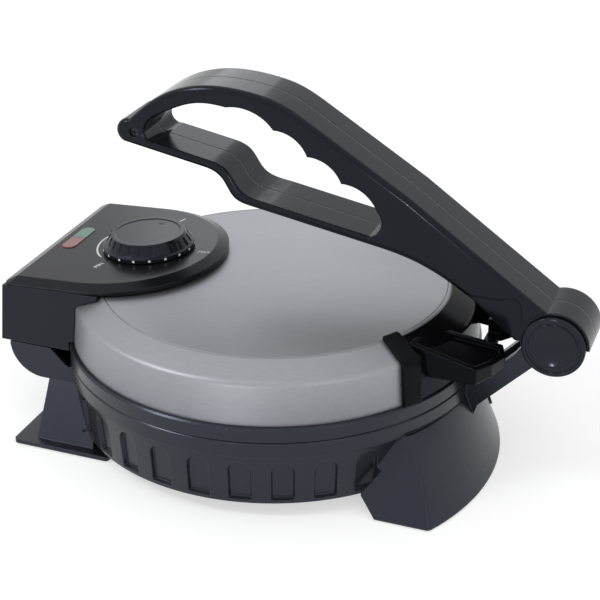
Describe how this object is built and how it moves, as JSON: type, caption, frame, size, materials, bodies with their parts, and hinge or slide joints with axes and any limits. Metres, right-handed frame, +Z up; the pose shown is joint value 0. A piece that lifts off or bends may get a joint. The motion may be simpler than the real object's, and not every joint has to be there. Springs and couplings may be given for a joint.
{
  "type": "electric roti maker",
  "caption": "Countertop flatbread cooker with hinged round lid, arched press handle, front control housing and dial.",
  "frame": {"origin": "on the worktop, under the middle of the box the product fills", "axes": "+Z up, -Y towards the user and the dial, +Y towards the hinge, +X to the user's right"},
  "size_m": [0.2352, 0.3248, 0.1997],
  "materials": {
    "black_moulding": "semi-gloss moulded thermoplastic, blue-black",
    "panel_moulding": "fine satin moulded top panel, dark grey",
    "stainless_cover": "satin stainless sheet",
    "nonstick_plate": "cast aluminium with dark non-stick coating",
    "heater_tube": "sheathed heating tube, dull grey",
    "shield_sheet": "bright pressed sheet",
    "pan_sheet": "black painted bottom sheet",
    "foot_rubber": "soft black rubber",
    "bush_rubber": "black rubber bush",
    "terminal_moulding": "white heat-proof moulding",
    "screw_steel": "zinc plated steel",
    "pin_steel": "ground steel pin",
    "red_lens": "translucent red lens",
    "green_lens": "translucent green lens",
    "lamp_glass": "small neon lamps",
    "thermostat_ceramic": "ceramic and metal thermostat",
    "knob_moulding": "gloss black knob"
  },
  "bodies": {
    "base": {"base_housing": "black_moulding", "rubber_feet": "foot_rubber", "bottom_cover": "pan_sheet", "bottom_cover_screws": "screw_steel", "terminal_block": "terminal_moulding", "cord_bush": "bush_rubber", "lower_plate": "nonstick_plate", "lower_element": "heater_tube", "lower_shield": "shield_sheet", "hinge_pin": "pin_steel", "pivot_caps": "black_moulding"},
    "lid": {"lid_ring": "black_moulding", "lid_cover": "stainless_cover", "lid_bracket": "black_moulding", "bracket_screws": "screw_steel", "upper_plate": "nonstick_plate", "upper_element": "heater_tube", "upper_shield": "shield_sheet", "thermostat_body": "thermostat_ceramic", "control_box": "black_moulding", "control_panel": "panel_moulding", "panel_screws": "screw_steel", "red_lens": "red_lens", "green_lens": "green_lens", "indicator_lamps": "lamp_glass"},
    "knob": {"thermostat_knob": "knob_moulding", "thermostat_shaft": "pin_steel"},
    "handle": {"handle_near_half": "black_moulding", "handle_far_half": "black_moulding", "handle_screws": "screw_steel"}
  },
  "joints": [
    {"name": "lid_hinge", "type": "hinge", "parent": "base", "child": "lid", "pos_m": [0, 0.1435, 0.08], "axis": [-1, 0, 0], "range_deg": [0, 95]},
    {"name": "handle_hinge", "type": "hinge", "parent": "lid", "child": "handle", "pos_m": [0, 0.1435, 0.08], "axis": [1, 0, 0], "range_deg": [0, 12.5]},
    {"name": "knob_turn", "type": "hinge", "parent": "lid", "child": "knob", "pos_m": [0, -0.0981, 0.0918], "axis": [0, -0.0523, 0.9986], "range_deg": [-270, 0]}
  ]
}
